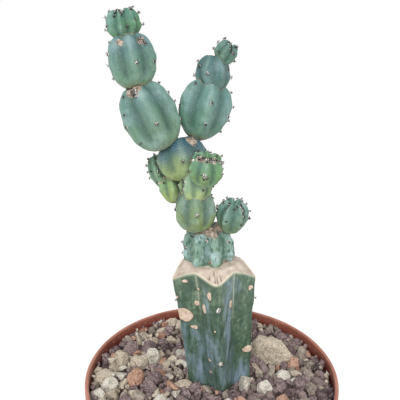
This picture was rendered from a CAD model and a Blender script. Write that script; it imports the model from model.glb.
"""The looks of a blue myrtle cactus in its pot: every skin, felt pad, spine, cork scar, stone and the
moulded pot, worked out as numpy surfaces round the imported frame. Metres, +Z up."""

import math
import random

import bpy
import numpy as np
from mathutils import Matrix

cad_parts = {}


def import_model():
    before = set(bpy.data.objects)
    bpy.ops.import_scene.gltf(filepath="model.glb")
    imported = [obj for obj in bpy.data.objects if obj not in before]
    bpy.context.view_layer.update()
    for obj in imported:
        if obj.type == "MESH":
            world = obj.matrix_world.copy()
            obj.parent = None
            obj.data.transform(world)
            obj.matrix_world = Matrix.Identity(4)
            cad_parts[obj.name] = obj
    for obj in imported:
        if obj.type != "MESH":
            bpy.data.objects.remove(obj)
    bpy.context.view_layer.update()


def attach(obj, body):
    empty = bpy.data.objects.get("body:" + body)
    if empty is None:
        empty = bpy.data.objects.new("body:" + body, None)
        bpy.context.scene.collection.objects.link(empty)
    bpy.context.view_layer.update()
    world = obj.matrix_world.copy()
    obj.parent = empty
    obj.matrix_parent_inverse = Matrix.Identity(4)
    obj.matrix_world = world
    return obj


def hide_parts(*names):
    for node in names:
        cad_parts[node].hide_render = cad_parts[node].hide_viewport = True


MM = 0.001
TAU = math.tau

# Camera: at the photograph's place, in millimetres, pitched down, with no roll.
CAMERA_PLACE = (-4.70, -170.55, 213.57)
CAMERA_PITCH = 15.42
FRAME_PIXELS = 400
FOCAL_PIXELS = 460
SENSOR = 36.0

# Light: the ceiling's brightness where the horizon's is 1, and the sun's strength, width and turn, in
# degrees.
CEILING_LIGHT = 0.70
KEY_LIGHT = 2.7
KEY_WIDTH = 35.0
KEY_TURN = (50.0, 0.0, -6.0)

# Floor: its colour, the radii of its rings, its thickness and how far it lies under the pot, in
# millimetres, and the points in a ring.
FLOOR_TONE = (0.84, 0.84, 0.84, 1.0)
FLOOR_REACH = (30.0, 100.0, 400.0, 1500.0, 6000.0)
FLOOR_THICKNESS = 2.0
FLOOR_GAP = 0.05
FLOOR_COLUMNS = 96

# Pot, in millimetres.
RIM_RADIUS = 52.5
POT_HEIGHT = 93.0
POT_WALL = 1.6
COLLAR_HEIGHT = 11.0
COLLAR_STEP = 1.7
COLLAR_FOOT = POT_HEIGHT - COLLAR_HEIGHT
FOOT_RADIUS = 36.0
FOOT_RING = 3.2
FOOT_RECESS = 3.0
FLOOR_TOP = 5.0
DRAIN_HOLES = 6
DRAIN_RADIUS = 3.5
DRAIN_CIRCLE = 24.0

# Gravel: the level of its bed at the wall, how much higher that lies in the middle, and the level that
# its granules reach, in millimetres.
GRAVEL_LEVEL = 87.0
GRAVEL_MOUND = 0.4
GRAVEL_TOP = 88.5

# Rootstock, in millimetres and degrees. Pairs are its value at the waist and at the cut, and grooves are
# shares of its radius. The roundings of every crest and, on top of that, of the front one are shares of
# half a rib.
STOCK_RIBS = 5
STOCK_TURN = -86.5
STOCK_FOOT = np.array((5.4, 4.0, 52.0))
STOCK_TOP = np.array((0.2, -0.1, 142.5))
STOCK_WAIST_HEIGHT = 84.0
STOCK_TIP_RADIUS = (14.2, 18.2)
STOCK_FLARE = 1.6
STOCK_GROOVE = (0.41, 0.30)
STOCK_KEEL = 0.70
CREST_ROUNDING = 0.03
FRONT_ROUNDING = 0.19
PLATEAU_RADIUS = 10.4
BEVEL_SLOPE = 0.90


class Stem:
    """One stem segment. Foot and tip are its axis's ends in millimetres, turn is where its first crest
    stands, in degrees from the side that faces -Y. Groove is how deep its grooves are, as a share of its
    radius, keel how sharp its crests are, fullness how blunt its ends are, and waist how far up it is
    widest. Tones are its colours at the foot and at the crown. Areoles are shares of its length on each
    rib of its hidden side. Those of the side that faces -Y are listed in front as (degrees, share, size).
    Swell and span are the height and the reaches of the bump under one. Bloom, gnarl, wrinkles and stain
    are how strongly powder, roughness, fine rings and dark fibres show. Seam is how far cork creeps out
    from a joint, and cork patches are (degrees, share, reach in millimetres). Lobes is how far the ribs
    rise round the crown, and tuft counts the young areoles there."""

    def __init__(self, name, foot, tip, radius, ribs, turn, groove, keel, fullness, waist, areoles, tones,
                 front=(), swell=0.045, span=(0.11, 0.07), bloom=0.35, gnarl=0.10, seam=0.1, cork=(),
                 wrinkles=0.02, lobes=0.0, tuft=0, stain=0.30):
        self.name = name
        self.foot = np.array(foot)
        self.tip = np.array(tip)
        self.length = float(np.linalg.norm(self.tip - self.foot))
        self.radius = radius
        self.ribs = ribs
        self.turn = math.radians(turn)
        self.groove = groove
        self.keel = keel
        self.fullness = fullness
        self.waist = waist
        self.areoles = areoles
        self.tones = tones
        self.front = front
        self.swell = swell
        self.span = span
        self.bloom = bloom
        self.gnarl = gnarl
        self.seam = seam
        self.cork = cork
        self.wrinkles = wrinkles
        self.lobes = lobes
        self.tuft = tuft
        self.stain = stain


STEMS = [
    Stem("stem_base", (-1.0, 0.6, 135.0), (-1.6, 0.8, 157.3), 10.1, 7, 18, 0.19, 0.30, 0.72, 0.50,
         (0.45, 0.66, 0.86), ("#6d8e6b", "#6b887c"), bloom=0.95, gnarl=0.45, seam=0.8, wrinkles=0.08,
         stain=0.9,
         front=((-5, 0.77, 1.5), (58, 0.70, 1.3), (-74, 0.59, 1.2), (-60, 0.80, 0.8), (30, 0.88, 0.7)),
         cork=((20, 0.97, 5.0), (-30, 0.97, 4.0), (80, 0.93, 4.0), (3, 0.40, 1.0), (50, 0.34, 1.3))),
    Stem("stem_trunk_1", (-6.2, -2.0, 155.0), (-6.8, -3.0, 171.5), 8.3, 6, 5, 0.17, 0.30, 0.86, 0.50,
         (0.40, 0.76), ("#748546", "#647c68"), bloom=0.35, gnarl=0.16, wrinkles=0.10,
         front=((5, 0.56, 1.3), (67, 0.59, 0.9), (68, 0.81, 0.8), (-61, 0.62, 1.0))),
    Stem("stem_side_bud", (6.6, -1.5, 154.2), (8.4, -5.2, 167.0), 6.1, 6, 28, 0.22, 0.35, 0.80, 0.56,
         (0.50, 0.72, 0.88), ("#6f865e", "#53766a"), swell=0.09, bloom=0.3, gnarl=0.12, lobes=0.07, tuft=12,
         front=((-26, 0.62, 0.8), (52, 0.94, 1.1), (57, 0.84, 1.2), (49, 0.71, 1.0), (30, 0.84, 0.8),
                (-35, 0.86, 0.8), (28, 0.58, 0.8), (-88, 0.74, 0.8), (84, 0.60, 0.8))),
    Stem("stem_trunk_2", (-6.2, -3.8, 166.2), (-6.2, -3.4, 180.0), 6.3, 6, 20, 0.17, 0.35, 0.86, 0.50,
         (0.45, 0.78), ("#9bad71", "#769677"), bloom=0.3, wrinkles=0.06,
         front=((-60, 0.70, 1.2), (-42, 0.66, 1.1), (-44, 0.54, 1.0), (-50, 0.44, 0.9), (24, 0.46, 0.7))),
    Stem("stem_rear_bud_low", (-14.6, 0.0, 165.2), (-16.6, 3.6, 177.0), 5.0, 5, 10, 0.20, 0.60, 0.86, 0.58,
         (0.40, 0.66, 0.86), ("#8a9a5b", "#688b5b"), swell=0.10, bloom=0.2, seam=0.9,
         front=((-35, 0.65, 0.8), (52, 0.46, 0.9), (-61, 0.69, 0.8), (10, 0.82, 0.8))),
    Stem("stem_rear_bud_high", (-16.9, 4.6, 169.5), (-22.2, 3.2, 183.6), 4.4, 5, -20, 0.22, 0.80, 0.90, 0.52,
         (0.42, 0.58, 0.74, 0.90), ("#6e8e5c", "#527a5e"), swell=0.10, bloom=0.2, tuft=5,
         front=((-6, 0.64, 1.2), (-5, 0.52, 1.1), (-57, 0.66, 0.9), (-3, 0.80, 1.0), (-69, 0.88, 0.8))),
    Stem("stem_fork", (-9.6, -1.2, 174.6), (-12.8, 1.5, 190.6), 9.7, 5, 5, 0.13, 0.30, 0.82, 0.50,
         (0.50,), ("#899c63", "#274b63"), bloom=0.2, gnarl=0.16, wrinkles=0.14, seam=0.3,
         cork=((48, 0.86, 2.6),), front=((4, 0.45, 1.4), (-66, 0.47, 0.9))),
    Stem("stem_front_bud", (-3.4, -8.6, 174.6), (-2.0, -12.4, 186.2), 6.2, 6, 0, 0.24, 0.45, 0.76, 0.55,
         (0.46, 0.66, 0.84), ("#7c985a", "#59835b"), swell=0.11, bloom=0.2, lobes=0.05, wrinkles=0.04,
         tuft=10, front=((-4, 0.62, 1.4), (4, 0.57, 1.1), (-2, 0.52, 1.0), (-78, 0.74, 1.0),
                         (-62, 0.84, 1.3), (-45, 0.92, 1.2), (-30, 0.95, 1.2), (-12, 0.95, 1.3),
                         (6, 0.94, 1.2), (24, 0.95, 1.3), (42, 0.93, 1.2), (58, 0.88, 1.3), (72, 0.78, 1.1),
                         (60, 0.60, 0.8), (-58, 0.56, 0.8)),
         cork=((-20, 0.95, 1.5), (10, 0.95, 1.5), (40, 0.93, 1.4), (-48, 0.93, 1.3))),
    Stem("stem_left_1", (-17.4, -2.0, 187.2), (-28.0, -5.0, 210.2), 10.1, 5, 12, 0.26, 0.15, 0.80, 0.50,
         (0.24, 0.50, 0.80), ("#67876b", "#547771"), bloom=0.35, seam=0.5,
         front=((13, 0.43, 1.4), (-47, 0.90, 0.9), (-49, 0.69, 0.9), (-53, 0.53, 0.9), (-48, 0.25, 0.9),
                (84, 0.69, 1.0), (-8, 0.91, 1.3), (2, 0.92, 1.3), (3, 0.86, 1.4), (-5, 0.86, 1.2),
                (-2, 0.89, 1.5)),
         cork=((-12, 0.92, 2.7), (6, 0.94, 2.3), (24, 0.97, 2.0), (44, 0.98, 1.8))),
    Stem("stem_left_2", (-26.6, -4.2, 208.2), (-30.0, -4.2, 226.8), 8.9, 6, 12, 0.20, 0.20, 0.80, 0.52,
         (0.22, 0.46, 0.84), ("#63856e", "#4e7073"), bloom=0.35, seam=0.5,
         front=((16, 0.44, 1.3), (-49, 0.68, 1.1), (65, 0.42, 0.9), (44, 0.81, 1.1), (53, 0.84, 1.2),
                (53, 0.77, 1.2), (56, 0.73, 1.0), (-70, 0.34, 0.7)),
         cork=((-14, 0.83, 1.3), (-24, 0.86, 1.2), (50, 0.80, 1.6))),
    Stem("stem_left_tip", (-29.8, -4.0, 223.6), (-31.4, -5.0, 233.6), 5.6, 7, -2, 0.22, 0.75, 0.85, 0.58,
         (0.50, 0.80, 0.93), ("#5e8756", "#457464"), swell=0.15, span=(0.18, 0.10), bloom=0.25, lobes=0.10,
         tuft=14, front=((24, 0.50, 1.0), (-52, 0.60, 0.8), (62, 0.66, 0.8), (-30, 0.84, 0.7), (5, 0.84, 0.7),
                         (50, 0.86, 0.8))),
    Stem("stem_right_1", (-6.4, 3.4, 189.2), (-0.6, 3.2, 211.4), 9.7, 5, 8, 0.20, 0.20, 0.78, 0.58,
         (0.20, 0.40, 0.62, 0.82), ("#5b816e", "#587d78"), bloom=0.35, seam=0.2,
         cork=((-30, 0.02, 2.6), (5, 0.01, 2.6), (40, 0.02, 2.4)),
         front=((11, 0.66, 1.3), (11, 0.34, 1.2), (-49, 0.88, 1.0), (-59, 0.50, 1.0), (72, 0.52, 1.0))),
    Stem("stem_right_2", (-0.5, 2.6, 206.6), (0.4, 1.4, 220.0), 6.2, 6, -28, 0.16, 0.25, 0.80, 0.50,
         (0.44, 0.80), ("#456a62", "#3d6264"), bloom=0.35,
         front=((-20, 0.54, 1.2), (73, 0.64, 0.9), (-68, 0.69, 0.9))),
    Stem("stem_right_tip", (2.0, 1.2, 216.2), (6.3, 0.0, 223.4), 3.7, 5, -10, 0.24, 0.75, 0.90, 0.60,
         (0.45, 0.70, 0.88), ("#5d7f66", "#4d6e6a"), swell=0.18, span=(0.18, 0.10), bloom=0.2, lobes=0.08,
         tuft=8, front=((40, 0.73, 1.0), (61, 0.52, 0.9), (10, 0.82, 0.8), (-53, 0.51, 0.7))),
]
# Degrees from the side that faces -Y within which the areoles are the listed ones.
FRONT_SIDE = 78.0


def linear(hex_colour):
    """An sRGB hex colour as linear RGBA."""
    parts = np.array([int(hex_colour[at:at + 2], 16) for at in (1, 3, 5)]) / 255.0
    turned = np.where(parts <= 0.04045, parts / 12.92, ((parts + 0.055) / 1.055) ** 2.4)
    return (*turned.tolist(), 1.0)


def lattice_noise(points, cell, seed):
    """Smooth noise from -1 to 1: a random value at each corner of a cubic lattice of this cell size,
    blended across the cell by eased weights."""
    scaled = points / cell
    base = np.floor(scaled)
    within = scaled - base
    base = base.astype(np.int64)
    eased = within * within * (3.0 - 2.0 * within)
    total = np.zeros(points.shape[:-1])
    for corner in np.ndindex(2, 2, 2):
        place = base + np.array(corner)
        mixed = place[..., 0] * 73856093 ^ place[..., 1] * 19349663 ^ place[..., 2] * 83492791 ^ seed * 2971
        mixed = (mixed ^ (mixed >> 13)) * 1274126177 & 0x7FFFFFFF
        mixed = mixed ^ (mixed >> 15)
        value = mixed / 0x3FFFFFFF - 1.0
        total += np.prod(np.where(corner, eased, 1.0 - eased), axis=-1) * value
    return total


def fractal(points, cell, seed, octaves=3):
    """Lattice noise summed over octaves, each of half the cell and half the strength."""
    return sum(lattice_noise(points, cell / 2 ** k, seed + k) / 2 ** k for k in range(octaves))


def ease(low, high, value):
    """0 at low and 1 at high, with an even start and end between them. Low may be the greater one."""
    share = np.clip((value - low) / (high - low), 0.0, 1.0)
    return share * share * (3.0 - 2.0 * share)


def ring_faces(rows, columns):
    """Quads and triangles of a closed surface: rings of vertices between a lower pole, the first
    vertex, and an upper pole, the last one."""
    column = np.arange(columns)
    following = (column + 1) % columns
    start = 1 + np.arange(rows - 1)[:, None] * columns
    quads = np.stack([start + column, start + following, start + columns + following,
                      start + columns + column], axis=-1).reshape(-1, 4)
    last = 1 + rows * columns
    bottom = np.stack([0 * column, 1 + following, 1 + column], axis=-1)
    top = np.stack([last - columns + column, last - columns + following, last + 0 * column], axis=-1)
    return quads, np.concatenate([bottom, top])


def with_poles(rings):
    """Rows x columns x n rings as one list, with the mean of the first and of the last ring as poles."""
    flat = rings.reshape(-1, rings.shape[-1])
    return np.concatenate([rings[:1].mean(axis=1), flat, rings[-1:].mean(axis=1)])


def mesh_piece(name, vertices, faces, finishes, values=None, sharp=None, slots=None):
    """A mesh object, vertices in millimetres. Values are named numbers on its vertices, slots the
    material index of each face, and sharp the angle in degrees above which an edge stays crisp."""
    quads, triangles = faces
    mesh = bpy.data.meshes.new(name)
    mesh.vertices.add(len(vertices))
    mesh.vertices.foreach_set("co", (vertices * MM).astype(np.float32).ravel())
    corners = np.concatenate([quads.ravel(), triangles.ravel()]).astype(np.int32)
    starts = np.concatenate([np.arange(len(quads)) * 4, len(quads) * 4 + np.arange(len(triangles)) * 3])
    mesh.loops.add(len(corners))
    mesh.loops.foreach_set("vertex_index", corners)
    mesh.polygons.add(len(starts))
    mesh.polygons.foreach_set("loop_start", starts.astype(np.int32))
    for finish in finishes:
        mesh.materials.append(finish)
    if slots is not None:
        mesh.polygons.foreach_set("material_index", slots.astype(np.int32))
    mesh.update(calc_edges=True)
    for label, numbers in (values or {}).items():
        layer = mesh.attributes.new(label, "FLOAT", "POINT")
        layer.data.foreach_set("value", np.asarray(numbers, dtype=np.float32).ravel())
    mesh.shade_smooth()
    if sharp:
        mesh.set_sharp_from_angle(angle=math.radians(sharp))
    piece = bpy.data.objects.new(name, mesh)
    bpy.context.scene.collection.objects.link(piece)
    return piece


def ring_piece(name, rings, finishes, fields=None, sharp=None, slots=None):
    """A closed mesh object of rows x columns rings of points. Fields are named numbers on those rings."""
    values = {label: with_poles(field[..., None]) for label, field in (fields or {}).items()}
    return mesh_piece(name, with_poles(rings), ring_faces(*rings.shape[:2]), finishes, values, sharp, slots)


def mesh_of_copies(name, shapes, faces, finishes, values=None, sharp=None):
    """One mesh of many shapes, copies x vertices x 3, that share one list of faces."""
    count, size = shapes.shape[:2]
    shift = (np.arange(count) * size)[:, None, None]
    repeated = tuple((kind[None] + shift).reshape(-1, kind.shape[-1]) for kind in faces)
    return mesh_piece(name, shapes.reshape(-1, 3), repeated, finishes, values, sharp)


def ball(rows, columns):
    """Unit directions on rings of equal steps in latitude, with both poles."""
    latitude = (np.arange(rows) + 1.0) / (rows + 1.0) * math.pi - math.pi / 2.0
    angle = np.arange(columns) / columns * TAU
    latitude, angle = np.meshgrid(latitude, angle, indexing="ij")
    level = np.cos(latitude)
    rings = np.stack([level * np.cos(angle), level * np.sin(angle), np.sin(latitude)], axis=-1)
    return np.concatenate([[(0.0, 0.0, -1.0)], rings.reshape(-1, 3), [(0.0, 0.0, 1.0)]])


def add_node(tree, kind, sockets=None, stops=None, output=0, **settings):
    """Adds a shader node of this kind and gives back one of its outputs. Settings are its properties,
    sockets its inputs' values or the outputs that feed them, and stops a colour ramp's (place, hex
    colour) pairs."""
    made = tree.nodes.new("ShaderNode" + kind)
    for name, value in settings.items():
        setattr(made, name, value)
    for name, value in (sockets or {}).items():
        if isinstance(value, bpy.types.NodeSocket):
            tree.links.new(value, made.inputs[name])
        else:
            made.inputs[name].default_value = value
    if stops:
        ramp = made.color_ramp.elements
        while len(ramp) < len(stops):
            ramp.new(0.5)
        for element, (place, colour) in zip(ramp, stops):
            element.position = place
            element.color = linear(colour)
    return made.outputs[output]


def new_finish(name, roughness, **sockets):
    """A material with its shader's plain sockets set, its node tree, and its Object coordinates."""
    finish = bpy.data.materials.new(name)
    finish.use_nodes = True
    tree = finish.node_tree
    shader = tree.nodes["Principled BSDF"]
    shader.inputs["Roughness"].default_value = roughness
    for socket, value in sockets.items():
        shader.inputs[socket.replace("_", " ")].default_value = value
    return finish, tree, add_node(tree, "TexCoord", output="Object")


def blend_colours(tree, share, first, second):
    """A colour mix. First and second are hex colours or outputs."""
    sockets = {0: share}
    for at, colour in ((6, first), (7, second)):
        sockets[at] = linear(colour) if isinstance(colour, str) else colour
    return add_node(tree, "Mix", sockets, output=2, data_type="RGBA")


def coat(tree, under, tone, value, bare, full, most=1.0, easing="LINEAR"):
    """A colour covered with another one: not at all where the value is bare, and by the share most where
    it is full."""
    share = add_node(tree, "MapRange", {0: value, 1: bare, 2: full, 4: most}, interpolation_type=easing)
    return blend_colours(tree, share, under, tone)


def dress(tree, colour, height=None, strength=1.0, depth=0.0, roughness=None):
    """Feeds the shader with a colour and, where they are given, with a roughness and with the bump of a
    height that is this many millimetres deep."""
    shader = tree.nodes["Principled BSDF"]
    tree.links.new(colour, shader.inputs["Base Color"])
    if roughness is not None:
        tree.links.new(roughness, shader.inputs["Roughness"])
    if height is not None:
        bump = add_node(tree, "Bump", {"Strength": strength, "Distance": depth * MM, "Height": height})
        tree.links.new(bump, shader.inputs["Normal"])


def per_metre(millimetres):
    """Noise scale whose features are about this many millimetres across."""
    return 1.0 / (millimetres * MM)


def cactus_skin(stem):
    """Waxy cuticle of a living stem: greener at the foot and in young growth, bluer above, with dry tan
    cork where it has scarred. Over that lie, in this order, yellow at the very foot, powdery pale bloom
    in patches, paler crests, darker clefts, pale pores and dark fibres."""
    finish, tree, place = new_finish("cactus_skin_" + stem.name, 0.50, Subsurface_Weight=0.06,
                                     Subsurface_Scale=0.0012, Specular_IOR_Level=0.38)
    groove, along, cork = (add_node(tree, "Attribute", output="Fac", attribute_name=label)
                           for label in ("groove", "along", "cork"))
    drawn = add_node(tree, "Mapping", {"Vector": place, "Scale": (1.0, 1.0, 0.35)})
    patches, pores, fibres, crust = (
        add_node(tree, "TexNoise", {"Vector": where, "Scale": per_metre(size), "Detail": detail,
                                    "Roughness": rough})
        for where, size, detail, rough in ((place, 8.0, 4.0, 0.5), (place, 0.5, 2.0, 0.5),
                                           (drawn, 1.3, 5.0, 0.7), (place, 1.4, 4.0, 0.7)))
    height = add_node(tree, "Math", {0: along, 1: patches}, operation="ADD")
    rise = add_node(tree, "MapRange", {0: height, 1: 0.50, 2: 1.40}, interpolation_type="SMOOTHSTEP")
    colour = blend_colours(tree, rise, *stem.tones)
    for tone, value, bare, full, most, easing in (
        ("#a5a562", along, 0.16, 0.03, 0.45, "SMOOTHSTEP"),
        ("#9db4b6", patches, 0.47, 0.66, stem.bloom, "LINEAR"),
        ("#a3b8a6", groove, 0.22, 0.0, 0.16, "LINEAR"),
        ("#2b4a44", groove, 0.40, 1.05, 0.62, "SMOOTHSTEP"),
        ("#b4c4b4", pores, 0.52, 0.72, 0.15, "LINEAR"),
        ("#2f5340", fibres, 0.52, 0.38, stem.stain, "LINEAR"),
    ):
        colour = coat(tree, colour, tone, value, bare, full, most, easing)
    cork_tone = add_node(tree, "ValToRGB", {"Fac": crust},
                         stops=((0.34, "#4d423a"), (0.50, "#8a7b6e"), (0.66, "#c6bbab")))
    colour = blend_colours(tree, cork, colour, cork_tone)
    rough = add_node(tree, "MapRange", {0: cork, 3: 0.50, 4: 0.92})
    relief = add_node(tree, "Math", {0: cork, 1: crust}, operation="MULTIPLY")
    height = add_node(tree, "Math", {0: pores, 1: relief}, operation="ADD")
    dress(tree, colour, height, 0.5, 0.12 + 0.6 * stem.gnarl, rough)
    return finish


# Distance between the fine rings of wrinkles on a shrunken crown, in millimetres, and how deep the
# crown is dimpled, as a share of the stem's length.
WRINKLE_PITCH = 0.85
CROWN_DIMPLE = 0.10


def groove_share(angle, ribs, keel):
    """0 on a rib's crest, 1 in the groove beside it. A higher keel gives a sharper crest and groove."""
    across = np.abs((angle * ribs / TAU + 0.5) % 1.0 - 0.5) * 2.0
    return (1.0 - keel) * (0.5 - 0.5 * np.cos(across * math.pi)) + keel * across


def axis_frame(stem):
    """Columns: the side that faces -Y, the side that faces +X, and the axis, as near as may be."""
    up = (stem.tip - stem.foot) / stem.length
    front = np.array((0.0, -1.0, 0.0))
    front = front - up * front.dot(up)
    front /= np.linalg.norm(front)
    return np.stack([front, np.cross(up, front), up], axis=1)


def areole_shares(stem, rib):
    """Where the areoles of a rib sit along the stem, staggered from rib to rib."""
    return [np.minimum(0.93, at + 0.05 * (rib * 2 % 3 - 1)) for at in stem.areoles]


def skin_profile(stem, angle, latitude):
    """Radius, groove share and share of the length. The form is an ovoid of a given fullness and waist:
    radius x cos(latitude) to the fullness, cut in by the grooves and swollen at each areole."""
    along = (0.5 + 0.5 * np.sin(latitude)) ** (math.log(stem.waist) / math.log(0.5))
    share = groove_share(angle - stem.turn, stem.ribs, stem.keel)
    deepening = ease(0.02, 0.30, along)
    rib = np.round((angle - stem.turn) * stem.ribs / TAU).astype(int) % stem.ribs
    swell = np.zeros_like(along)
    for at in areole_shares(stem, rib):
        reach = np.where(along < at, *stem.span)
        swell = np.maximum(swell, np.exp(-(((along - at) / reach) ** 2)))
    ribbed = 1.0 - stem.groove * deepening * share + stem.swell * swell * np.clip(1.0 - share, 0.0, 1.0) ** 3
    return stem.radius * np.cos(latitude) ** stem.fullness * ribbed, share * deepening, along


def stem_skin(stem, angle, latitude):
    """Points of a stem's skin, its groove share and its share of the length: the profile round its
    axis, with lobes and a dimple at the crown, rings of fine wrinkles and a slow unevenness."""
    radius, share, along = skin_profile(stem, angle, latitude)
    frame = axis_frame(stem)
    dimple = CROWN_DIMPLE * ease(0.93, 1.0, along) * (1.0 - ease(0.0, 0.5, radius / stem.radius))
    lobe = stem.lobes * ease(0.62, 0.93, along) * np.clip(1.0 - share, 0.0, 1.0) ** 2
    lobe = lobe * ease(0.05, 0.45, radius / stem.radius)
    radial = np.stack([np.cos(angle), np.sin(angle), 0.0 * angle], axis=-1)
    spot = radial * radius[..., None]
    spot[..., 2] = stem.length * (along - dimple + lobe)
    points = stem.foot + spot @ frame.T
    seed = int(abs(stem.foot[0] * 31 + stem.tip[2] * 7))
    rings = np.sin(along * stem.length / WRINKLE_PITCH * TAU + 2.5 * lattice_noise(points, 3.5, seed + 9))
    strength = ease(0.35, 0.7, along) * (0.6 + 0.4 * lattice_noise(points, 4.0, seed + 2))
    crease = stem.wrinkles * rings * strength
    uneven = 0.30 * lattice_noise(points, 7.0, seed) + stem.gnarl * fractal(points, 1.6, seed + 5) + crease
    fade = np.cos(latitude)[..., None] ** 0.5
    outward = radial * np.cos(latitude)[..., None] + np.array((0, 0, 1.0)) * np.sin(latitude)[..., None]
    points = points + (outward @ frame.T) * (uneven[..., None] * fade)
    return points, np.clip(share - 2.0 * crease, 0.0, 1.0), along


def depth_inside(stem, points):
    """How far points lie under the stem's skin, in millimetres, negative outside it."""
    local = (points - stem.foot) @ axis_frame(stem)
    along = local[..., 2] / stem.length
    angle = np.arctan2(local[..., 1], local[..., 0])
    latitude = latitude_of(stem, np.clip(along, 0.001, 0.999))
    radius = skin_profile(stem, angle, latitude)[0]
    beyond = np.maximum(np.maximum(-along, along - 1.0), 0.0) * stem.length
    return radius - np.hypot(local[..., 0], local[..., 1]) - beyond


def patch_mask(points, centres, seed):
    """1 inside any of the patches, (centre, reach) in millimetres, with a ragged edge, 0 outside."""
    mask = np.zeros(points.shape[:-1])
    ragged = fractal(points, 2.2, seed)
    for centre, reach in centres:
        distance = np.linalg.norm(points - centre, axis=-1) / reach
        mask = np.maximum(mask, 1.0 - ease(0.72, 1.0, distance + 0.22 * ragged))
    return mask


def latitude_of(stem, along):
    """The latitude at which the skin has reached this share of the stem's length."""
    return np.arcsin(2.0 * np.asarray(along) ** (math.log(0.5) / math.log(stem.waist)) - 1.0)


def spot_on(stem, degrees, along):
    """One point of the skin, this many degrees from the side that faces -Y."""
    return stem_skin(stem, np.array([math.radians(degrees)]), np.array([latitude_of(stem, along)]))[0][0]


def build_stem(stem):
    """The stem's skin as rings from its foot to its crown, finer on thicker stems, with cork in its
    patches and where it meets another stem."""
    columns = int(np.clip(round(stem.radius * 15.0), 88, 152))
    rows = int(columns * 0.62)
    step = (np.arange(rows) + 1.0) / (rows + 1.0) * math.pi - math.pi / 2.0
    turn = np.arange(columns) / columns * TAU
    latitude, angle = np.meshgrid(step, turn, indexing="ij")
    points, groove, along = stem_skin(stem, angle, latitude)
    seed = len(stem.name) * 7
    cork = patch_mask(points, [(spot_on(stem, d, at), reach) for d, at, reach in stem.cork], seed)
    ragged = fractal(points, 2.0, seed + 3)
    for other in STEMS:
        if other is not stem:
            gap = -depth_inside(other, points)
            cork = np.maximum(cork, 1.0 - ease(0.35, 1.0, gap / stem.seam + 0.35 * ragged))
    fields = {"groove": groove, "along": along, "cork": cork}
    piece = ring_piece(stem.name + "_skin", points, [cactus_skin(stem)], fields)
    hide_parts(stem.name)
    return piece


def skin_frames(stem, angle, latitude):
    """Points of the skin with their outward and crestward directions."""
    points = stem_skin(stem, angle, latitude)[0]
    crest = stem_skin(stem, angle, latitude + 0.05)[0] - stem_skin(stem, angle, latitude - 0.05)[0]
    side = stem_skin(stem, angle + 0.05, latitude)[0] - stem_skin(stem, angle - 0.05, latitude)[0]
    outward = np.cross(side, crest)
    outward /= np.linalg.norm(outward, axis=1, keepdims=True)
    crest /= np.linalg.norm(crest, axis=1, keepdims=True)
    return points, outward, crest


def stem_areoles(stem):
    """(points, outward, crest, size) of the areoles that no neighbouring stem covers: the listed ones
    in front, one at each share of each rib behind, and young ones spiralling in to the crown."""
    spots = [(math.radians(degrees), at, size) for degrees, at, size in stem.front]
    for rib in range(stem.ribs):
        angle = stem.turn + TAU * rib / stem.ribs
        if abs(math.remainder(angle, TAU)) > math.radians(FRONT_SIDE):
            spots += [(angle, float(at), 0.9) for at in areole_shares(stem, rib)]
    spots += [(2.4 * n, 0.90 + 0.075 * n / stem.tuft, 0.9) for n in range(stem.tuft)]
    angle, along, size = np.array(spots).T
    points, outward, crest = skin_frames(stem, angle, latitude_of(stem, along))
    covered = np.zeros(len(points), dtype=bool)
    for other in STEMS:
        if other is not stem:
            covered |= depth_inside(other, points) > -0.35
    return points[~covered], outward[~covered], crest[~covered], size[~covered]


def stock_axis(height):
    """(x, y) of the rootstock's leaning axis at this height."""
    share = (height - STOCK_FOOT[2]) / (STOCK_TOP[2] - STOCK_FOOT[2])
    return STOCK_FOOT[:2] + (STOCK_TOP[:2] - STOCK_FOOT[:2]) * share[..., None]


def stock_radius(angle, height):
    """Radius of the rootstock's skin: a star with straight sides, its inverse going evenly from a crest
    to a groove, flared from its waist up to the cut. The rib that faces -Y is blunter than the others."""
    rise = np.maximum(0.0, (height - STOCK_WAIST_HEIGHT) / (STOCK_TOP[2] - STOCK_WAIST_HEIGHT))
    tip = STOCK_TIP_RADIUS[0] + (STOCK_TIP_RADIUS[1] - STOCK_TIP_RADIUS[0]) * rise ** STOCK_FLARE
    groove = STOCK_GROOVE[0] + (STOCK_GROOVE[1] - STOCK_GROOVE[0]) * rise
    from_front = angle - math.radians(STOCK_TURN)
    half = math.pi / STOCK_RIBS
    front = np.clip(np.cos(from_front), 0.0, 1.0) ** 6
    across = np.abs((from_front / half / 2.0 + 0.5) % 1.0 - 0.5) * 2.0
    blunt = CREST_ROUNDING + FRONT_ROUNDING * front
    across = np.minimum(np.sqrt(across ** 2 + blunt ** 2), 1.0) * half
    return math.sin(half) / (np.sin(half - across) / tip + np.sin(across) / (tip * (1.0 - groove)))


def stock_unevenness(points):
    """How far the rootstock's skin stands out at these points: slow waves and a finer roughness."""
    return 0.28 * fractal(points, 6.0, 21) + 0.05 * fractal(points, 1.2, 23)


def bevel_height(radius):
    """Level of the cut this far from its middle: a flat plateau, then a cone that falls away."""
    return STOCK_TOP[2] - BEVEL_SLOPE * np.maximum(0.0, radius - PLATEAU_RADIUS)


def round_stock(angle, height, radius):
    """Points at this angle, height and distance from the rootstock's axis."""
    outward = np.stack([np.cos(angle), np.sin(angle)], axis=-1)
    return np.concatenate([stock_axis(height) + outward * radius[..., None], height[..., None]], axis=-1)


def stock_spot(degrees, height):
    """A point of the rootstock's skin, this many degrees round from its front rib."""
    angle = np.array([math.radians(STOCK_TURN + degrees)])
    height = np.array([float(height)])
    return round_stock(angle, height, stock_radius(angle, height))[0]


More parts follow.
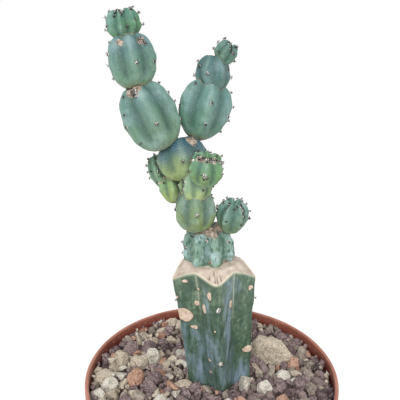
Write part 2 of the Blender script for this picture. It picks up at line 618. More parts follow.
# Cork scars on the rootstock: degrees round from the front rib, height, and half sizes across and up,
# in millimetres.
STOCK_SCARS = [
    (-64, 120.8, 2.45, 3.0), (-41, 127.3, 1.1, 1.2), (-11, 132.6, 0.9, 1.9), (-24, 126.0, 0.7, 1.9),
    (-56, 136.4, 1.3, 0.9), (-53, 115.6, 1.1, 0.9), (28, 127.3, 0.6, 1.9), (66, 132.2, 0.7, 0.9),
    (78, 136.8, 0.6, 0.8), (66, 103.2, 1.7, 1.4), (78, 112.6, 1.2, 1.3), (-22, 101.4, 0.6, 0.6),
    (-22, 95.6, 0.6, 0.6), (-72, 128.5, 0.8, 0.6), (-34, 134.0, 0.7, 0.5), (-6, 117.0, 0.5, 0.5),
    (140, 118.0, 2.2, 2.0), (165, 104.0, 1.4, 1.1), (190, 126.0, 1.2, 2.0), (215, 112.0, 2.4, 2.2),
    (240, 129.0, 1.1, 1.3), (120, 131.0, 0.9, 1.6), (200, 98.0, 1.0, 1.0), (262, 104.0, 1.5, 1.2),
]
# Where bloom is left on the rootstock, and how much: degrees, height, half sizes, strength.
STOCK_BLOOM = [
    (-50, 100.0, 4.0, 15.0, 0.7), (-68, 116.0, 2.0, 8.0, 0.4), (20, 118.0, 2.4, 24.0, 0.6),
    (48, 92.0, 5.5, 7.0, 0.85), (30, 103.0, 2.6, 6.0, 0.75), (3, 94.0, 2.0, 9.0, 0.45),
    (-19, 110.0, 2.0, 26.0, 0.55), (34, 134.0, 4.0, 5.0, 0.5), (0, 112.0, 1.6, 14.0, 0.35),
    (-9, 104.0, 1.8, 18.0, 0.45), (120, 100.0, 6.0, 14.0, 0.8), (160, 124.0, 3.0, 14.0, 0.5),
    (205, 98.0, 6.0, 12.0, 0.9), (235, 118.0, 3.0, 18.0, 0.5), (276, 100.0, 4.0, 14.0, 0.7),
]
# Rings up the rootstock's skin and in over its cut, points in a ring, and how the height of its edge is
# found: the first guess, in millimetres under the top, and the number of passes.
STOCK_ROWS = 150
STOCK_CUT_ROWS = 34
STOCK_COLUMNS = 240
EDGE_GUESS = 4.0
EDGE_PASSES = 4


def ellipse_mask(angle, points, places, seed, soft):
    """1 inside any of the ellipses drawn on the rootstock, with a ragged edge that fades outwards."""
    mask = np.zeros(angle.shape)
    ragged = fractal(points, 2.6, seed)
    for degrees, height, across, up, strength in places:
        away = (angle - math.radians(STOCK_TURN + degrees) + math.pi) % TAU - math.pi
        radius = np.hypot(points[..., 0] - STOCK_TOP[0], points[..., 1] - STOCK_TOP[1])
        distance = np.hypot(away * radius / across, (points[..., 2] - height) / up)
        inside = 1.0 - ease(1.0 - soft, 1.0 + 0.5 * soft, distance + 0.25 * ragged)
        mask = np.maximum(mask, strength * inside)
    return mask


def stock_skin():
    """Grey-green epidermis of the rootstock, smooth and slightly glossy, with violet-white bloom left
    in patches and streaks, pale lines in its valleys under the cut, and tan scars with a darker edge."""
    finish, tree, place = new_finish("rootstock_epidermis", 0.36, Specular_IOR_Level=0.5,
                                     Subsurface_Weight=0.04, Subsurface_Scale=0.0012)
    line, cork, bloom, valley = (add_node(tree, "Attribute", output="Fac", attribute_name=label)
                                 for label in ("line", "cork", "bloom", "valley"))
    stretched = add_node(tree, "Mapping", {"Vector": place, "Scale": (1.0, 1.0, 0.16)})
    streaks, mottle, fresh = (
        add_node(tree, "TexNoise", {"Vector": where, "Scale": per_metre(size), "Detail": detail,
                                    "Roughness": rough})
        for where, size, detail, rough in ((stretched, 2.6, 5.0, 0.65), (place, 1.6, 4.0, 0.65),
                                           (stretched, 7.0, 2.0, 0.5)))
    both = add_node(tree, "Math", {0: mottle, 1: streaks}, operation="ADD")
    half = add_node(tree, "Math", {0: both, 1: 0.5}, operation="MULTIPLY")
    colour = add_node(tree, "ValToRGB", {"Fac": half},
                      stops=((0.34, "#2f4437"), (0.50, "#475e4b"), (0.64, "#72856b")))
    colour = coat(tree, colour, "#2b4636", fresh, 0.50, 0.62, 0.55)
    worn = add_node(tree, "MapRange", {0: streaks, 1: 0.38, 2: 0.58})
    left = add_node(tree, "Math", {0: worn, 1: bloom}, operation="MULTIPLY")
    for share, tone in ((left, "#8397ae"), (line, "#b9bda6"), (valley, "#2c4536")):
        colour = blend_colours(tree, share, colour, tone)
    edge = add_node(tree, "ValToRGB", {"Fac": cork},
                    stops=((0.0, "#ffffff"), (0.35, "#9a8f76"), (0.8, "#ffffff")))
    darker = add_node(tree, "Mix", {0: 1.0, 6: colour, 7: edge}, output=2, data_type="RGBA",
                      blend_type="MULTIPLY")
    scar = add_node(tree, "MapRange", {0: cork, 1: 0.3, 2: 0.6})
    scar_tone = add_node(tree, "ValToRGB", {"Fac": mottle},
                         stops=((0.3, "#a9917f"), (0.55, "#c9b5a1"), (0.8, "#d9ccba")))
    colour = blend_colours(tree, scar, darker, scar_tone)
    dull = add_node(tree, "Math", {0: scar, 1: left}, operation="MAXIMUM")
    rough = add_node(tree, "MapRange", {0: dull, 3: 0.34, 4: 0.8})
    dress(tree, colour, half, 0.4, 0.2, rough)
    return finish


def dried_cut():
    """Dried callus of the cut: leathery, pinkish grey, paler along its rim, with cracks that run out
    from the middle."""
    finish, tree, place = new_finish("dried_callus", 0.85, Specular_IOR_Level=0.3)
    crack, rim = (add_node(tree, "Attribute", output="Fac", attribute_name=label)
                  for label in ("crack", "rim"))
    grain = add_node(tree, "TexNoise", {"Vector": place, "Scale": per_metre(3.4), "Detail": 5.0,
                                        "Roughness": 0.6})
    colour = add_node(tree, "ValToRGB", {"Fac": grain},
                      stops=((0.30, "#9b8a7e"), (0.50, "#b5a699"), (0.70, "#c9bdb1")))
    for share, tone in ((rim, "#d6cfb6"), (crack, "#665248")):
        colour = blend_colours(tree, share, colour, tone)
    dress(tree, colour, grain, 0.6, 0.3)
    return finish


# Cracks of the cut: degrees round from the front rib, and where each starts and ends on the way in.
CUT_CRACKS = [
    (-2, 0.12, 0.62), (2, 0.05, 0.40), (9, 0.10, 0.30), (-11, 0.15, 0.35), (-70, 0.10, 0.35),
    (66, 0.15, 0.45), (150, 0.10, 0.55), (154, 0.20, 0.40), (212, 0.20, 0.50),
]


def stock_wall(turn):
    """The ribbed skin as rings up to the bevelled edge, where it meets a cone that falls from the
    plateau. Gives its points, their fields and the edge's radius."""
    edge = np.full(len(turn), STOCK_TOP[2] - EDGE_GUESS)
    for _ in range(EDGE_PASSES):
        edge = bevel_height(stock_radius(turn, edge))
    rise = np.linspace(0.0, 1.0, STOCK_ROWS)[:, None]
    height = STOCK_FOOT[2] + (edge - STOCK_FOOT[2]) * rise
    angle = np.broadcast_to(turn, height.shape)
    radius = stock_radius(angle, height)
    points = round_stock(angle, height, radius)
    cork = ellipse_mask(angle, points, [(*place, 1.0) for place in STOCK_SCARS], 4, 0.25)
    bloom = ellipse_mask(angle, points, STOCK_BLOOM, 6, 0.7)
    fade = np.minimum(1.0, (1.0 - rise) * 12.0)
    uneven = (stock_unevenness(points) + 0.22 * cork) * fade
    points[..., :2] += np.stack([np.cos(angle), np.sin(angle)], axis=-1) * uneven[..., None]
    groove = groove_share(angle - math.radians(STOCK_TURN), STOCK_RIBS, STOCK_KEEL)
    pale = ease(0.94, 1.0, groove) * ease(112.0, 134.0, points[..., 2] + 4.0 * fractal(points, 5.0, 8))
    fields = {
        "valley": 0.5 * ease(0.66, 0.95, groove) * ease(132.0, 110.0, points[..., 2]),
        "line": np.maximum(0.55 * pale, 0.8 * ease(0.988, 1.0, rise)),
        "bloom": bloom,
        "cork": cork,
    }
    return points, fields, radius[-1]


def stock_cut(turn, edge_radius):
    """The cut as rings in from the bevelled edge, a little sunk behind it and cracked, with its fields."""
    inward = (np.arange(STOCK_CUT_ROWS) + 1.0)[:, None] / (STOCK_CUT_ROWS + 0.5)
    radius = edge_radius * (1.0 - inward)
    angle = np.broadcast_to(turn, radius.shape)
    points = round_stock(angle, bevel_height(radius), radius)
    wander = 0.04 * lattice_noise(points, 2.0, 9)
    crack = np.zeros_like(radius)
    for degrees, start, end in CUT_CRACKS:
        away = np.abs((angle - math.radians(STOCK_TURN + degrees) + wander + math.pi) % TAU - math.pi)
        opened = ease(start - 0.05, start + 0.05, inward * 2.0)
        closed = ease(end - 0.05, end + 0.05, inward * 2.0)
        crack = np.maximum(crack, (1.0 - ease(0.0, 0.028, away)) * (opened * (1.0 - closed)))
    sunk = 0.5 * ease(0.0, 0.10, inward) * (1.0 - ease(0.3, 0.6, inward))
    points[..., 2] += 0.18 * fractal(points, 2.5, 33) - sunk - 0.35 * crack
    return points, {"crack": crack, "rim": 1.0 - ease(0.0, 0.07, inward) + 0.0 * radius}


def build_stock():
    """The rootstock: its ribbed skin and its cut, as one list of rings with a material for each."""
    turn = np.arange(STOCK_COLUMNS) / STOCK_COLUMNS * TAU
    wall, on_wall, edge_radius = stock_wall(turn)
    cut, on_cut = stock_cut(turn, edge_radius)
    rings = np.concatenate([wall, cut])
    bare_wall = np.zeros(wall.shape[:2])
    bare_cut = np.zeros(cut.shape[:2])
    fields = {label: np.concatenate([on_wall.get(label, bare_wall), on_cut.get(label, bare_cut)])
              for label in (*on_wall, *on_cut)}
    row_of_quads = np.repeat(np.arange(len(rings) - 1), STOCK_COLUMNS)
    slots = np.concatenate([row_of_quads >= STOCK_ROWS - 1, np.zeros(STOCK_COLUMNS), np.ones(STOCK_COLUMNS)])
    piece = ring_piece("rootstock_column", rings, [stock_skin(), dried_cut()], fields, sharp=38, slots=slots)
    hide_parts("rootstock")
    return piece


def stock_areoles():
    """(points, outward, crest, size) of the rootstock's areoles, on its rib crests every 20 mm or so."""
    spots = [(1.0, 127.0), (1.0, 101.6)]
    spots += [(rib * 360.0 / STOCK_RIBS, height + 3.0 * (rib % 3 - 1))
              for rib in range(1, STOCK_RIBS) for height in (94.0, 109.0, 127.0)]
    facing = np.radians(STOCK_TURN + np.array([degrees for degrees, _ in spots]))
    points = np.array([stock_spot(degrees, height) for degrees, height in spots])
    outward = np.stack([np.cos(facing), np.sin(facing), 0.0 * facing], axis=1)
    points = points + outward * (0.05 + stock_unevenness(points))[:, None]
    size = np.where(np.array(spots)[:, 0] < 2.0, 2.3, 0.8)
    return points, outward, np.tile((0.0, 0.0, 1.0), (len(spots), 1)), size


def areole_wool():
    """Felted hairs of an areole: greyish white, matt and soft-edged, with dirt between the tufts."""
    finish, tree, place = new_finish("areole_wool", 0.95, Sheen_Weight=0.3, Specular_IOR_Level=0.2)
    hairs = add_node(tree, "TexNoise", {"Vector": place, "Scale": per_metre(0.45), "Detail": 4.0,
                                        "Roughness": 0.7})
    colour = add_node(tree, "ValToRGB", {"Fac": hairs},
                      stops=((0.38, "#4d4843"), (0.50, "#bab7af"), (0.60, "#eeece7")))
    dress(tree, colour, hairs, 0.8, 0.15)
    return finish


def spine_horn():
    """Spines: hard dark horn, near black in some places and browner in others."""
    finish, tree, place = new_finish("spine_horn", 0.45)
    bands = add_node(tree, "TexNoise", {"Vector": place, "Scale": per_metre(0.8)})
    dress(tree, coat(tree, "#15110f", "#3f352e", bands, 0.35, 0.65))
    return finish


# Half sizes of a wool pad along the crest, across it and outwards, and a spine's length and radius, in
# millimetres. Both are coarser than real ones, so that they show. The lifts are how far a pad and a
# spine's root stand off the skin, and the bend is a share of the spine's length.
PAD_HALF = (0.50, 0.42, 0.26)
PAD_LIFT = 0.05
PAD_GRID = (6, 10)
SPINE_LENGTH = (0.60, 1.10)
SPINE_RADIUS = 0.135
SPINE_LIFT = 0.15
SPINE_BEND = 0.10
SPINE_STEPS = (0.0, 0.45, 0.85)
SPINE_SIDES = 5
SPINES_AN_AREOLE = 7


def areole_pads(draw, points, frames, scale):
    """Wool pads: flattened, lumpy balls that lie on the skin."""
    count = len(points)
    size = draw.uniform(0.8, 1.1, (count, 1, 1)) * scale[:, None, None] * np.array(PAD_HALF)
    sphere = ball(*PAD_GRID)[None]
    lumps = 1.0 + 0.30 * lattice_noise(sphere * 3.0 + np.arange(count)[:, None, None] * 9.0, 1.0, 3)
    local = sphere * size * lumps[..., None]
    pads = np.einsum("nvk,nkc->nvc", local, frames) + (points + frames[:, 2] * PAD_LIFT)[:, None, :]
    return mesh_of_copies("areole_pads", pads, ring_faces(*PAD_GRID), [areole_wool()])


def areole_spines(draw, points, frames, scale):
    """Spines: tapering, slightly bent rods that lean out of the pad all round, the first one steeply."""
    count = len(points)
    spread = draw.uniform(0.75, 1.40, (count, SPINES_AN_AREOLE))
    spread[:, 0] = draw.uniform(0.0, 0.5, count)
    bearing = (np.arange(SPINES_AN_AREOLE) / SPINES_AN_AREOLE * TAU + draw.uniform(0.0, TAU, (count, 1))
               + draw.uniform(-0.4, 0.4, (count, SPINES_AN_AREOLE)))
    level = np.sin(spread)
    lean = np.stack([level * np.cos(bearing), level * np.sin(bearing), np.cos(spread)], axis=-1)
    aim = np.einsum("nsk,nkc->nsc", lean, frames).reshape(-1, 3)
    root = np.repeat(points + frames[:, 2] * SPINE_LIFT, SPINES_AN_AREOLE, axis=0) + aim * SPINE_LIFT
    length = draw.uniform(*SPINE_LENGTH, len(aim)) * np.repeat(scale, SPINES_AN_AREOLE)
    side = np.cross(aim, draw.normal(size=aim.shape))
    side = side / np.linalg.norm(side, axis=1, keepdims=True)
    other = np.cross(aim, side)
    steps = np.array(SPINE_STEPS)
    turn = np.arange(SPINE_SIDES) / SPINE_SIDES * TAU
    bend = SPINE_BEND * length[:, None, None] * (steps ** 2)[None, :, None] * side[:, None, :]
    centre = root[:, None, :] + aim[:, None, :] * (length[:, None] * steps)[..., None] + bend
    thick = SPINE_RADIUS * (1.0 - steps) ** 0.6
    ring = (side[:, None, None, :] * np.cos(turn)[None, None, :, None]
            + other[:, None, None, :] * np.sin(turn)[None, None, :, None])
    rings = centre[:, :, None, :] + ring * thick[None, :, None, None]
    tip = root + aim * length[:, None] + SPINE_BEND * length[:, None] * side
    shapes = np.concatenate([root[:, None, :], rings.reshape(len(aim), -1, 3), tip[:, None, :]], axis=1)
    return mesh_of_copies("spines", shapes, ring_faces(len(steps), SPINE_SIDES), [spine_horn()])


def build_areoles():
    """The wool pads and the spines of every areole, each kind as one mesh."""
    groups = [stem_areoles(stem) for stem in STEMS] + [stock_areoles()]
    points, outward, crest, scale = (np.concatenate(part) for part in zip(*groups))
    frames = np.stack([crest, np.cross(outward, crest), outward], axis=1)
    draw = np.random.default_rng(7)
    wool = areole_pads(draw, points, frames, scale)
    return [wool, areole_spines(draw, points, frames, scale)]


def inner_radius(height):
    """Radius of the pot's inner face: a tapered wall, then a collar set out by a slanted step."""
    outer = FOOT_RADIUS + (RIM_RADIUS - COLLAR_STEP - FOOT_RADIUS) * np.minimum(1.0, height / COLLAR_FOOT)
    return outer + np.clip(height - COLLAR_FOOT, 0.0, COLLAR_STEP) - POT_WALL


def moulded_plastic():
    """Injection-moulded polypropylene in a terracotta colour: satin, faintly cloudy, darker and redder
    inside, with a paler scuffed rim and specks of dried hard water on the inner wall."""
    finish, tree, place = new_finish("moulded_polypropylene", 0.42, Subsurface_Weight=0.05,
                                     Subsurface_Scale=0.002)
    inner, rim = (add_node(tree, "Attribute", output="Fac", attribute_name=label)
                  for label in ("inner", "rim"))
    cloud, grit = (add_node(tree, "TexNoise", {"Vector": place, "Scale": per_metre(size), "Detail": 4.0})
                   for size in (14.0, 1.1))
    colour = add_node(tree, "ValToRGB", {"Fac": cloud},
                      stops=((0.30, "#7e3c29"), (0.50, "#83402c"), (0.70, "#8a4633")))
    colour = coat(tree, colour, "#64271f", inner, 0.0, 1.0, 0.9)
    scuff = add_node(tree, "Math", {0: rim, 1: cloud}, operation="MULTIPLY")
    colour = blend_colours(tree, scuff, colour, "#bd8570")
    specks = add_node(tree, "MapRange", {0: grit, 1: 0.60, 2: 0.70, 4: 0.55})
    dried = add_node(tree, "Math", {0: specks, 1: inner}, operation="MULTIPLY")
    colour = blend_colours(tree, dried, colour, "#bf9484")
    dress(tree, colour, grit, 0.15, 0.08)
    return finish


POT_COLUMNS = 224


def pot_profile():
    """(radius, height) up the outside from the underside's middle, over the rounded rim and down the
    inside to the floor's middle, with an arc of a few points at each corner."""
    half = POT_WALL / 2.0
    arc = np.linspace(0.0, math.pi, 9)
    rim = [(RIM_RADIUS - half + half * math.cos(a), POT_HEIGHT - half + half * math.sin(a)) for a in arc]
    wall = np.linspace(0.0, 1.0, 14)
    ring = FOOT_RADIUS - FOOT_RING
    seat = COLLAR_FOOT + COLLAR_STEP
    outer_wall = [(FOOT_RADIUS + (RIM_RADIUS - COLLAR_STEP - FOOT_RADIUS) * s, 0.8 + (COLLAR_FOOT - 0.8) * s)
                  for s in wall]
    inner_wall = [(float(inner_radius(z)), z) for z in np.linspace(COLLAR_FOOT, FLOOR_TOP + 1.0, 14)]
    return np.array(
        [(8.0, FOOT_RECESS), (ring - 1.2, FOOT_RECESS), (ring - 0.9, 2.6), (ring - 0.1, 0.1),
         (ring + 0.2, 0.0), (FOOT_RADIUS - 0.9, 0.0), (FOOT_RADIUS - 0.4, 0.15)]
        + outer_wall
        + [(RIM_RADIUS - 0.5, COLLAR_FOOT), (RIM_RADIUS - 0.1, COLLAR_FOOT + 0.1),
           (RIM_RADIUS, COLLAR_FOOT + 0.5), (RIM_RADIUS, COLLAR_FOOT + 4.0)]
        + rim
        + [(RIM_RADIUS - POT_WALL, seat + 3.0), (RIM_RADIUS - POT_WALL, seat + 0.5),
           (RIM_RADIUS - POT_WALL - 0.15, seat)]
        + inner_wall
        + [(float(inner_radius(FLOOR_TOP)) - 0.8, FLOOR_TOP), (8.0, FLOOR_TOP)]
    )


def build_pot():
    """The pot's profile turned round its axis, then drilled for its drain holes."""
    profile = pot_profile()
    turn = np.arange(POT_COLUMNS) / POT_COLUMNS * TAU
    radius = profile[:, :1] + 0.0 * turn
    height = profile[:, 1:] + 0.0 * turn
    rings = np.stack([radius * np.cos(turn), radius * np.sin(turn), height], axis=-1)
    top = int(np.argmax(profile[:, 1]))
    inner = np.repeat((np.arange(len(profile)) > top).astype(float), POT_COLUMNS).reshape(radius.shape)
    rim = ease(POT_HEIGHT - 1.4, POT_HEIGHT - 0.2, height)
    piece = ring_piece("nursery_pot", rings, [moulded_plastic()], {"inner": inner, "rim": rim}, sharp=50)
    step = (np.arange(12) + 1) / 13
    drill = np.stack([np.cos(turn[::8]), np.sin(turn[::8])], axis=-1) * DRAIN_RADIUS
    drills = []
    for hole in range(DRAIN_HOLES):
        angle = TAU * hole / DRAIN_HOLES
        middle = np.array((math.cos(angle), math.sin(angle))) * DRAIN_CIRCLE
        levels = FOOT_RECESS - 1.0 + (FLOOR_TOP - FOOT_RECESS + 2.0) * step
        wall = np.concatenate([np.broadcast_to(drill + middle, (len(levels), *drill.shape)),
                               np.broadcast_to(levels[:, None, None], (len(levels), len(drill), 1))], axis=-1)
        drills.append(with_poles(wall))
    cutter = mesh_of_copies("drain_drills", np.array(drills), ring_faces(len(step), len(drill)), [])
    cut = piece.modifiers.new("Drain", "BOOLEAN")
    cut.operation = "DIFFERENCE"
    cut.object = cutter
    graph = bpy.context.evaluated_depsgraph_get()
    made = bpy.data.meshes.new_from_object(piece.evaluated_get(graph), depsgraph=graph)
    piece.modifiers.clear()
    piece.data = made
    bpy.data.objects.remove(cutter, do_unlink=True)
    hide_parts("pot")
    return piece


def mound(radius):
    """Level of the gravel, a little higher in the middle."""
    return GRAVEL_LEVEL + GRAVEL_MOUND * (1.0 - (radius / RIM_RADIUS) ** 2)


# Kinds of granule: (name, darkest, middle and palest tone, pit size in millimetres, relief).
LAVA = ("lava_mauve", ("#2e2528", "#635354", "#968482"), 0.9, 1.0)
PUMICE = ("pumice_cream", ("#665b4e", "#a69887", "#cabeac"), 0.8, 0.8)
CLAY = ("burnt_clay", ("#5c4037", "#8f6857", "#b5937f"), 1.0, 0.8)
TUFF = ("brown_tuff", ("#45403b", "#80746a", "#a99d90"), 0.8, 0.9)
CHALK = ("pumice_white", ("#7c766b", "#b6afa2", "#d8d2c6"), 0.8, 0.7)
BED = ("gravel_bed", ("#2c2423", "#4a3d3b", "#6a5a56"), 1.4, 0.8)


def rock(kind):
    """Dry mineral granules: matt, dusty, pitted and speckled. Each stone has a tint of its own, and is
    paler on top, where dust lies."""
    name, tones, pit, relief = kind
    finish, tree, place = new_finish(name, 0.95, Specular_IOR_Level=0.2)
    tint = add_node(tree, "Attribute", output="Fac", attribute_name="tint")
    grain = add_node(tree, "TexNoise", {"Vector": place, "Scale": per_metre(pit), "Detail": 6.0,
                                        "Roughness": 0.75})
    pits = add_node(tree, "TexVoronoi", {"Vector": place, "Scale": per_metre(pit * 1.2)})
    hollow = add_node(tree, "MapRange", {0: pits, 1: 0.05, 2: 0.42}, interpolation_type="SMOOTHSTEP")
    mixed = add_node(tree, "Math", {0: grain, 1: 2.2, 2: -0.60}, operation="MULTIPLY_ADD")
    level = add_node(tree, "Math", {0: tint, 1: 0.45, 2: mixed}, operation="MULTIPLY_ADD")
    facing = add_node(tree, "NewGeometry", output="Normal")
    up = add_node(tree, "SeparateXYZ", {"Vector": facing}, output="Z")
    dusty = add_node(tree, "Math", {0: up, 1: 0.14, 2: level}, operation="MULTIPLY_ADD")
    colour = add_node(tree, "ValToRGB", {"Fac": dusty}, stops=tuple(zip((0.20, 0.62, 1.0), tones)))
    dark = add_node(tree, "MapRange", {0: hollow, 3: 0.45 * relief, 4: 0.0})
    colour = blend_colours(tree, dark, colour, tones[0])
    height = add_node(tree, "Math", {0: grain, 1: 1.5, 2: hollow}, operation="MULTIPLY_ADD")
    dress(tree, colour, height, relief, 0.45)
    return finish


def press_onto_planes(points, normals, depths):
    """Points beyond a plane are moved back onto it, plane after plane, which leaves flat facets."""
    for normal, depth in zip(np.moveaxis(normals, -2, 0), np.moveaxis(depths, -1, 0)):
        beyond = np.maximum(0.0, (points * normal[..., None, :]).sum(-1) - depth[..., None])
        points = points - beyond[..., None] * normal[..., None, :]
    return points


class Stone:
    """A larger stone: its node, centre and half sizes in millimetres, turn in degrees, seed, kind, and
    how much lower it gets from one end to the other."""

    def __init__(self, name, x, y, half, turn, seed, kind, slope=0.0):
        self.name = name
        self.middle = np.array((x, y))
        self.half = np.array(half)
        self.turn = math.radians(turn)
        self.seed = seed
        self.kind = kind
        self.slope = slope


STONES = [
    Stone("stone_pumice_large", 28.6, 14.6, (9.9, 7.0, 7.2), -14, 3, PUMICE, 0.42),
    Stone("stone_white_tall", -25.9, 11.4, (3.2, 3.0, 5.2), 80, 5, CHALK),
    Stone("stone_cream_inner", -31.8, 8.2, (3.9, 3.6, 4.2), 20, 8, PUMICE),
    Stone("stone_cream_outer", -40.2, 10.6, (3.8, 3.7, 4.4), 50, 13, PUMICE),
    Stone("stone_orange", -31.8, -3.4, (3.9, 4.0, 4.5), 35, 21, CLAY),
    Stone("stone_brown", -24.0, -2.9, (3.4, 3.3, 3.5), 5, 34, LAVA),
    Stone("stone_white_left", -42.0, -7.3, (3.7, 3.5, 3.5), 70, 55, CHALK),
    Stone("stone_white_right", 21.9, -8.6, (3.2, 3.1, 3.5), 15, 89, CHALK),
    Stone("stone_mauve_right", 36.6, -6.0, (3.5, 3.4, 3.3), 40, 144, LAVA),
]
# A larger stone's facets, how far from its middle they are cut, as shares of its radius, how much of its
# half height lies above the bed at its middle, and its grid.
STONE_FACETS = 11
STONE_FACET_DEPTH = (0.66, 0.92)
STONE_STANDS_OUT = 0.38
STONE_GRID = (64, 104)


def build_stone(stone, finish):
    """A ball pressed onto random planes like broken rock, stretched to its half sizes and roughened."""
    draw = random.Random(stone.seed)
    normals, depths = [], []
    for _ in range(STONE_FACETS):
        normal = np.array((draw.gauss(0, 1), draw.gauss(0, 1), draw.gauss(0, 1)))
        normals.append(normal / np.linalg.norm(normal))
        depths.append(draw.uniform(*STONE_FACET_DEPTH))
    points = press_onto_planes(ball(*STONE_GRID), np.array(normals), np.array(depths))
    points[:, 2] *= 1.0 - stone.slope * points[:, 0]
    points = points * stone.half
    pits = np.maximum(0.0, fractal(points, 0.9, stone.seed + 9, 2))
    rough = 0.42 * fractal(points, 3.2, stone.seed, 4) - 0.30 * pits
    points = points + points / np.linalg.norm(points, axis=1, keepdims=True) * rough[:, None]
    c, s = math.cos(stone.turn), math.sin(stone.turn)
    points = points @ np.array(((c, s, 0.0), (-s, c, 0.0), (0.0, 0.0, 1.0)))
    level = mound(np.linalg.norm(stone.middle)) + STONE_STANDS_OUT * stone.half[2]
    points = points + np.array((*stone.middle, level))
    tint = np.full(len(points), draw.uniform(0.3, 0.7))
    piece = mesh_piece(stone.name + "_rock", points, ring_faces(*STONE_GRID), [finish], {"tint": tint},
                       sharp=42)
    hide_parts(stone.name)
    return piece


# Granules: the grid of a coarse one and of a fine one, the facets of each, and how far from the middle
# they are cut, as shares of the radius.
COARSE_GRID = (7, 10)
FINE_GRID = (5, 8)
GRANULE_FACETS = 8
GRANULE_FACET_DEPTH = (0.48, 0.90)
# How clear a granule keeps of the wall, the rootstock and the larger stones, as shares of its size.
CLEAR_OF_WALL = 0.8
CLEAR_OF_STOCK = 0.35
CLEAR_OF_STONES = 0.45
# The throws, half sizes in millimetres and closeness of each layer of granules, coarsest first.
LAYERS = [(1500, (2.2, 3.5), 0.90), (3600, (1.5, 2.3), 0.84), (7000, (0.8, 1.4), 0.86)]
# Larger granules whose place shows: x, y, half size, kind.
PLACED = [
    (-45.8, -0.6, 4.0, PUMICE), (-45.4, -11.5, 3.6, CHALK), (-21.4, -15.1, 3.0, CHALK),
    (-21.1, 12.3, 2.8, CLAY), (31.4, 1.8, 3.0, CHALK), (-24.4, 36.9, 2.6, PUMICE),
    (-18.4, 28.8, 3.2, PUMICE), (-37.0, 21.2, 4.2, LAVA), (-29.4, 21.6, 4.4, LAVA),
    (-17.4, 13.1, 2.6, PUMICE), (-37.4, -3.4, 2.6, PUMICE), (-22.6, 25.5, 2.4, LAVA),
    (-13.4, 33.5, 2.2, TUFF), (10.0, -22.0, 2.8, LAVA), (-6.0, -19.0, 2.6, LAVA),
    (44.0, 6.0, 2.4, TUFF), (28.0, -14.0, 2.7, CLAY),
]


def scatter(draw, darts, sizes, closeness, taken, keep_out):
    """Places for one layer of granules by dart throwing: each is kept if it is clear of the wall, of
    the rootstock, of the larger stones and of the granules before it."""
    field = float(inner_radius(GRAVEL_TOP))
    stock = stock_axis(np.array(GRAVEL_LEVEL))
    kept = []
    for _ in range(darts):
        size = draw.uniform(*sizes)
        reach = (field - CLEAR_OF_WALL * size) * math.sqrt(draw.uniform())
        angle = draw.uniform(0.0, TAU)
        spot = np.array((reach * math.cos(angle), reach * math.sin(angle)))
        from_stock = spot - stock
        bearing = np.array(math.atan2(from_stock[1], from_stock[0]))
        if np.linalg.norm(from_stock) < float(stock_radius(bearing, GRAVEL_LEVEL)) + CLEAR_OF_STOCK * size:
            continue
        apart = np.linalg.norm(keep_out[:, :2] - spot, axis=1)
        if (apart < keep_out[:, 2] + CLEAR_OF_STONES * size).any():
            continue
        known = np.array(taken + kept).reshape(-1, 3)
        if (np.linalg.norm(known[:, :2] - spot, axis=1) < closeness * (known[:, 2] + size)).any():
            continue
        kept.append((*spot, size))
    return kept


def granule_shapes(draw, places, grid):
    """Broken pebbles: balls pressed onto random planes, pitted, stretched, turned every way and set
    down with their tops near the gravel's top."""
    count = len(places)
    normals = draw.normal(size=(count, GRANULE_FACETS, 3))
    normals /= np.linalg.norm(normals, axis=-1, keepdims=True)
    depths = draw.uniform(*GRANULE_FACET_DEPTH, (count, GRANULE_FACETS))
    directions = ball(*grid)
    points = press_onto_planes(np.broadcast_to(directions, (count, *directions.shape)), normals, depths)
    dents = fractal(directions * 1.3 + np.arange(count)[:, None, None] * 5.0, 1.0, 17, 2)
    points = points * (1.0 + 0.24 * dents[..., None])
    stretch = [np.full(count, 1.25), draw.uniform(0.80, 1.10, count), draw.uniform(0.70, 1.0, count)]
    points = points * (np.stack(stretch, axis=-1) * places[:, 2:3] * 1.18)[:, None, :]
    axes = np.linalg.qr(draw.normal(size=(count, 3, 3)))[0]
    axes *= np.sign(np.linalg.det(axes))[:, None, None]
    points = np.einsum("nvk,nkc->nvc", points, axes)
    top = GRAVEL_TOP + draw.uniform(-0.9, 0.6, count) + 0.25 * places[:, 2]
    top = top + 0.9 * ease(36.0, 48.0, np.linalg.norm(places[:, :2], axis=1))
    centre = np.concatenate([places[:, :2], (top - 0.85 * places[:, 2])[:, None]], axis=1)
    return points + centre[:, None, :]


BED_COLUMNS = 160


def gravel_bed(finish):
    """The body of the gravel under the granules: a plug that fills the pot up to a rough top."""
    levels = np.array((FLOOR_TOP + 0.4, 30.0, 60.0, COLLAR_FOOT, COLLAR_FOOT + COLLAR_STEP))
    wall = [(float(inner_radius(z)) - 0.35, z) for z in levels]
    edge = wall[-1][0]
    top = [(edge * s, mound(edge * s) - 0.4) for s in np.linspace(1.0, 0.03, 60)]
    profile = np.array([(6.0, levels[0])] + wall + top)
    turn = np.arange(BED_COLUMNS) / BED_COLUMNS * TAU
    radius = profile[:, :1]
    rings = np.stack([radius * np.cos(turn), radius * np.sin(turn), profile[:, 1:] + 0.0 * turn], axis=-1)
    rings[len(wall) + 2:, :, 2] += 0.6 * fractal(rings[len(wall) + 2:], 2.4, 77)
    bed = ring_piece("gravel_bed", rings, [finish], {"tint": np.zeros(rings.shape[:2])})
    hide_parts("gravel")
    return bed


KINDS = (LAVA, PUMICE, CLAY, TUFF, CHALK)


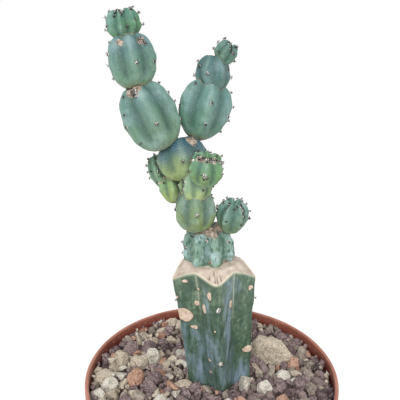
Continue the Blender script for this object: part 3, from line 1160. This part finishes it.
def chosen_kinds(draw, places):
    """The kind of each granule, by lot. Paler kinds are commoner on the left and rarer close in front of
    the rootstock."""
    left = ease(30.0, -40.0, places[:, 0])
    shares = np.stack([0.52 - 0.16 * left, 0.08 + 0.14 * left, 0.08 + 0.0 * left, 0.28 - 0.04 * left,
                       0.04 + 0.06 * left], axis=1)
    shares[:, (1, 4)] *= 1.0 - 0.6 * (ease(-14.0, -2.0, places[:, :1]) * ease(4.0, -8.0, places[:, 1:2]))
    shares[:, :1] += 1.0 - shares.sum(axis=1, keepdims=True)
    lots = draw.uniform(size=(len(places), 1))
    return (lots > np.cumsum(shares, axis=1)).sum(axis=1).clip(0, len(KINDS) - 1)


def build_gravel(finishes):
    """Three layers of granules, coarse to fine, sorted into meshes by kind of rock and fineness, over
    the gravel's bed."""
    draw = np.random.default_rng(2024)
    keep_out = np.array([(*stone.middle, stone.half[:2].mean() * 0.92) for stone in STONES])
    placed = [(x, y, size) for x, y, size, _ in PLACED]
    layers = []
    taken = list(placed)
    for darts, sizes, closeness in LAYERS:
        kept = scatter(draw, darts, sizes, closeness, taken, keep_out)
        layers.append(np.array(kept))
        taken += [(x, y, 0.80 * size) for x, y, size in kept]
    coarse = np.concatenate([np.array(placed), layers[0]])
    fine = np.concatenate(layers[1:])
    pieces = []
    for label, places, grid in (("coarse", coarse, COARSE_GRID), ("fine", fine, FINE_GRID)):
        shapes = granule_shapes(draw, places, grid)
        chosen = chosen_kinds(draw, places)
        if label == "coarse":
            chosen[:len(PLACED)] = [KINDS.index(kind) for *_, kind in PLACED]
        tint = draw.uniform(0.0, 1.0, len(places))
        for index, kind in enumerate(KINDS):
            picked = chosen == index
            values = {"tint": np.repeat(tint[picked], shapes.shape[1])}
            pieces.append(mesh_of_copies(f"{kind[0]}_{label}", shapes[picked], ring_faces(*grid),
                                         [finishes[kind[0]]], values, sharp=24))
    return pieces + [gravel_bed(finishes["bed"])]


def studio_light():
    """A bright horizon under a dimmer ceiling, and one broad soft sun from above and in front."""
    scene = bpy.context.scene
    world = bpy.data.worlds.new("studio")
    world.use_nodes = True
    tree = world.node_tree
    sky = add_node(tree, "TexCoord", output="Generated")
    up = add_node(tree, "SeparateXYZ", {"Vector": sky}, output="Z")
    glow = add_node(tree, "MapRange", {0: up, 1: 0.20, 2: 0.75, 3: 1.0, 4: CEILING_LIGHT},
                    interpolation_type="SMOOTHSTEP")
    tree.links.new(glow, tree.nodes["Background"].inputs["Strength"])
    tree.nodes["Background"].inputs["Color"].default_value = (1.0, 1.0, 1.0, 1.0)
    scene.world = world
    lamp = bpy.data.lights.new("key", "SUN")
    lamp.energy = KEY_LIGHT
    lamp.angle = math.radians(KEY_WIDTH)
    holder = bpy.data.objects.new("key", lamp)
    holder.rotation_euler = tuple(math.radians(turn) for turn in KEY_TURN)
    scene.collection.objects.link(holder)


def set_stage():
    """A pale floor, soft studio light, and the photograph's camera."""
    scene = bpy.context.scene
    scene.view_settings.view_transform = "Standard"
    studio_light()
    turn = np.arange(FLOOR_COLUMNS) / FLOOR_COLUMNS * TAU
    reach = np.array(FLOOR_REACH)[:, None]
    rings = np.stack([reach * np.cos(turn), reach * np.sin(turn), 0.0 * reach * turn - FLOOR_GAP], -1)
    under = rings - np.array((0.0, 0.0, FLOOR_THICKNESS))
    finish = new_finish("studio_floor", 0.9, Specular_IOR_Level=0.1, Base_Color=FLOOR_TONE)[0]
    floor = ring_piece("studio_floor", np.concatenate([under, rings[::-1]]), [finish], sharp=30)
    camera = bpy.data.cameras.new("camera")
    camera.sensor_width = SENSOR
    camera.lens = SENSOR * FOCAL_PIXELS / FRAME_PIXELS
    camera.clip_start = 0.01
    holder = bpy.data.objects.new("camera", camera)
    holder.location = np.array(CAMERA_PLACE) * MM
    holder.rotation_euler = (math.radians(90.0 - CAMERA_PITCH), 0.0, 0.0)
    scene.collection.objects.link(holder)
    scene.camera = holder


def main():
    """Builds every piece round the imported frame, and writes both boxes, the CAD's and the visual's."""
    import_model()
    finishes = {kind[0]: rock(kind) for kind in KINDS}
    finishes["bed"] = rock(BED)
    pieces = [build_pot(), build_stock()]
    pieces += [build_stem(stem) for stem in STEMS]
    pieces += build_areoles()
    pieces += [build_stone(stone, finishes[stone.kind[0]]) for stone in STONES]
    pieces += build_gravel(finishes)
    for piece in pieces:
        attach(piece, "root")
    set_stage()


main()
